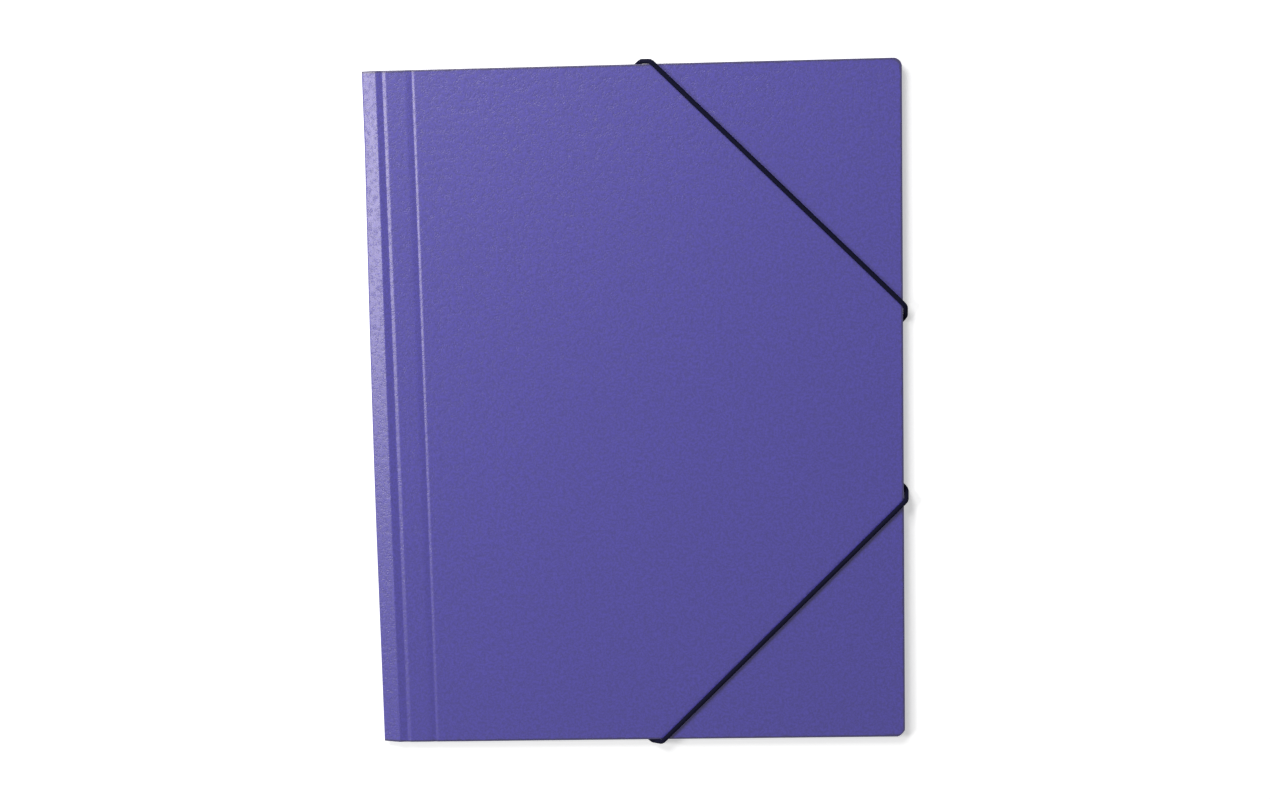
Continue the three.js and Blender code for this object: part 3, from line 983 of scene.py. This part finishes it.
def cord_route(side, radius):
    """Middle line of a cord from one hole round two edges to the other hole, over the covers' surface."""
    top_x, fore_y, back_top_x, back_fore_y = CROSSINGS[side]
    back_radius = back_low.z - (radius + FLOOR_GAP)
    reach, height, share = edge_wrap(radius, back_radius)
    end_hole, fore_hole = hole_places()[:2]

    def from_hole(hole, towards):
        x, y = hole
        direction = np.array(towards) - np.array(hole)
        direction = direction / np.linalg.norm(direction)
        out, down = arc_points(math.pi, 1.5 * math.pi, back_radius, HOLE_POINTS)
        points = [(x, y, back_high.z + CORD_START), (x, y, back_low.z + BEND_START)]
        for o, d in zip(out + back_radius, down):
            points.append((x + direction[0] * o, y + direction[1] * o, back_low.z + d))
        return points

    route = from_hole(end_hole, (back_top_x, top_edge_y))
    for out, z, part in zip(reach[::-1], height[::-1], share[::-1]):
        route.append((top_x + (back_top_x - top_x) * part, top_edge_y + out, z))
    for out, z, part in zip(reach, height, share):
        route.append((fore_edge_x + out, fore_y + (back_fore_y - fore_y) * part, z))
    route += from_hole(fore_hole, (fore_edge_x, back_fore_y))[::-1]
    route = np.array(route)
    route[:, 1] *= side
    return route


def resample(points, step):
    """Route in even steps, with its corners softened, and the length at each step."""
    gaps = np.linalg.norm(np.diff(points, axis=0), axis=1)
    keep = np.concatenate([[True], gaps > 1e-7])
    points = points[keep]
    length = np.concatenate([[0], np.cumsum(np.linalg.norm(np.diff(points, axis=0), axis=1))])
    count = int(length[-1] / step) + 1
    at = np.linspace(0, length[-1], count)
    soft = np.stack([np.interp(at, length, points[:, k]) for k in range(3)], axis=-1)
    for _ in range(2):
        soft[1:-1] = (soft[:-2] + 2 * soft[1:-1] + soft[2:]) / 4
    return soft, at


def make_cord(name, node, side, settings, cover):
    """Round cord with a braided textile cover, pulled tight over an outer corner."""
    radius = settings.radius
    route, length = resample(cord_route(side, radius), settings.step)
    on_front = smooth_step(route[:, 2], front_high.z, front_high.z + radius)
    route[:, 2] += on_front * sheet_wave(route[:, 0], route[:, 1], cover.wave)
    tangent = np.gradient(route, axis=0)
    tangent /= np.linalg.norm(tangent, axis=1, keepdims=True)
    side_way = np.cross(tangent[0], (1.0, 0.3, 0.2))
    side_way /= np.linalg.norm(side_way)
    ways = [side_way]
    for here in tangent[1:]:
        side_way = side_way - here * np.dot(side_way, here)
        side_way = side_way / np.linalg.norm(side_way)
        ways.append(side_way)
    first = np.array(ways)
    second = np.cross(tangent, first)

    sides = settings.strands * SIDES_PER_STRAND
    angle = np.linspace(0, 2 * math.pi, sides, endpoint=False)
    around = settings.strands * angle[None, :]
    forward = 2 * math.pi * length[:, None] / settings.braid_lay
    over = np.cos(around) * np.ones_like(forward)
    level, rise = 0.65, 0.35
    one_way = np.cos((around + forward) / 2) ** 2 * (level + rise * over)
    other_way = np.cos((around - forward) / 2) ** 2 * (level - rise * over)
    braid = np.maximum(one_way, other_way)
    reach = radius - settings.braid_depth + settings.braid_depth * braid
    tip = np.minimum(length, length[-1] - length)
    round_end = np.sqrt(np.clip(1 - (1 - np.clip(tip / CORD_TIP, 0, 1)) ** 2, 0.05, 1))
    reach = reach * round_end[:, None]
    points = (route[:, None, :] + first[:, None, :] * (reach * np.cos(angle))[..., None]
              + second[:, None, :] * (reach * np.sin(angle))[..., None])
    count = len(route)
    index = np.arange(count * sides).reshape(count, sides)
    after = np.roll(index, -1, axis=1)
    faces = np.stack([index[:-1], after[:-1], after[1:], index[1:]], axis=-1).reshape(-1, 4)
    flats = np.stack([np.broadcast_to(angle * radius, (count, sides)),
                      np.broadcast_to(length[:, None], (count, sides))], axis=-1).reshape(-1, 2)
    obj = mesh_object(name, points.reshape(-1, 3), faces, flats)
    close_ends(obj)
    obj.data.materials.append(black_textile("black_elastic", settings.colour))
    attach(obj, "back")
    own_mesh(obj)
    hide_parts(node)


def close_ends(obj):
    """Closes the two open ends of a tube."""
    body = bmesh.new()
    body.from_mesh(obj.data)
    rims = [edge for edge in body.edges if edge.is_boundary]
    bmesh.ops.holes_fill(body, edges=rims, sides=0)
    bmesh.ops.recalc_face_normals(body, faces=body.faces)
    body.to_mesh(obj.data)
    body.free()


class FOLDER_OT_elastics(bpy.types.Operator):
    """Two elastic cords over the outer corners"""

    bl_idname = "elastic_folder.elastics"
    bl_label = "Elastics"

    def execute(self, context):
        settings = context.scene.folder_elastic
        cover = context.scene.folder_cover
        make_cord("upper_cord", "upper_elastic", 1, settings, cover)
        make_cord("lower_cord", "lower_elastic", -1, settings, cover)
        return {"FINISHED"}


class FOLDER_OT_bars(bpy.types.Operator):
    """Metal bars on the cords' ends"""

    bl_idname = "elastic_folder.bars"
    bl_label = "Bars"

    def execute(self, context):
        material = brushed_steel("brushed_steel")
        for name, obj in frame["nodes"].items():
            if "barb" in name:
                obj.data.materials.clear()
                obj.data.materials.append(material)
        return {"FINISHED"}


class FOLDER_OT_stage(bpy.types.Operator):
    """White floor, two soft lamps, even room light and the camera"""

    bl_idname = "elastic_folder.stage"
    bl_label = "Stage"

    def execute(self, context):
        settings = context.scene.folder_stage
        scene = context.scene
        half = settings.floor_width / 2
        mesh = bpy.data.meshes.new("floor")
        corners = [(-half, -half, 0), (half, -half, 0), (half, half, 0), (-half, half, 0)]
        mesh.from_pydata(corners, [], [(0, 1, 2, 3)])
        floor = add_object("floor", mesh)
        mesh.materials.append(white_floor("white_floor", settings.floor_glow))
        floor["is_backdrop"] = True

        square_lamp("key_lamp", settings.key_place, settings.key_width, settings.key_power)
        square_lamp("top_lamp", settings.top_place, settings.top_width, settings.top_power)

        world = bpy.data.worlds.new("room")
        world.use_nodes = True
        tree = world.node_tree
        background = tree.nodes["Background"]
        background.inputs["Color"].default_value = WHITE
        gap = math_node(tree, "MULTIPLY", seen_directly(tree), 1.0 - settings.room_light)
        feed(tree, background.inputs["Strength"], math_node(tree, "ADD", gap, settings.room_light))
        scene.world = world
        scene.view_settings.view_transform = "Standard"
        scene.camera = photo_camera()
        return {"FINISHED"}


def square_lamp(name, place, width, power):
    """Square lamp that faces the folder."""
    lamp = bpy.data.lights.new(name, "AREA")
    lamp.shape = "SQUARE"
    lamp.size = width
    lamp.energy = power
    obj = add_object(name, lamp)
    obj.location = place
    obj.rotation_euler = (-Vector(place)).to_track_quat("-Z", "Y").to_euler()


def photo_camera():
    """Camera at the photograph's view: nearly straight above, from a little to the right and the top."""
    azimuth = math.radians(2.189)
    elevation = math.radians(6.828)
    roll = math.radians(-1.312)
    distance = 832.8 * MM
    aim = Vector((-1.334, 4.226, 3.0)) * MM
    away = Vector((math.sin(azimuth), math.sin(elevation) * math.cos(azimuth),
                   math.cos(elevation) * math.cos(azimuth))).normalized()
    ahead = -away
    right = ahead.cross(Vector((0, 1, 0))).normalized()
    up = right.cross(ahead)
    turned_right = right * math.cos(roll) + up * math.sin(roll)
    turned_up = up * math.cos(roll) - right * math.sin(roll)
    data = bpy.data.cameras.new("photo_camera")
    data.lens = 50.0
    data.sensor_width = 36.0
    data.clip_start = 0.01
    camera = add_object("photo_camera", data)
    rotation = Matrix((turned_right, turned_up, -ahead)).transposed()
    camera.matrix_world = Matrix.Translation(aim + away * distance) @ rotation.to_4x4()
    return camera


# Add-on

STEPS = (FOLDER_OT_back_sheet, FOLDER_OT_front_sheet, FOLDER_OT_flaps, FOLDER_OT_elastics, FOLDER_OT_bars,
         FOLDER_OT_stage)
SETTINGS = {"folder_cover": CoverSettings, "folder_flap": FlapSettings, "folder_elastic": ElasticSettings,
            "folder_stage": StageSettings}


class FOLDER_PT_panel(bpy.types.Panel):
    """Builds the folder piece by piece"""

    bl_idname = "FOLDER_PT_panel"
    bl_label = "Elastic Folder"
    bl_space_type = "VIEW_3D"
    bl_region_type = "UI"
    bl_category = "Elastic Folder"

    def draw(self, context):
        for step in STEPS:
            self.layout.operator(step.bl_idname)
        for name, group in SETTINGS.items():
            box = self.layout.box()
            for key in group.__annotations__:
                box.prop(getattr(context.scene, name), key)


def register():
    for cls in (*SETTINGS.values(), *STEPS, FOLDER_PT_panel):
        bpy.utils.register_class(cls)
    for name, group in SETTINGS.items():
        setattr(bpy.types.Scene, name, bpy.props.PointerProperty(type=group))


def unregister():
    for name in SETTINGS:
        delattr(bpy.types.Scene, name)
    for cls in reversed((*SETTINGS.values(), *STEPS, FOLDER_PT_panel)):
        bpy.utils.unregister_class(cls)


def main():
    register()
    bpy.ops.elastic_folder.back_sheet()
    bpy.ops.elastic_folder.front_sheet()
    bpy.ops.elastic_folder.flaps()
    bpy.ops.elastic_folder.elastics()
    bpy.ops.elastic_folder.bars()
    bpy.ops.elastic_folder.stage()
    boxes = {"cad": cad_box, "visual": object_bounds()}
    {name: [[float(v) for v in corner] for corner in box] for name, box in boxes.items()}


if __name__ == "__main__":
    main()
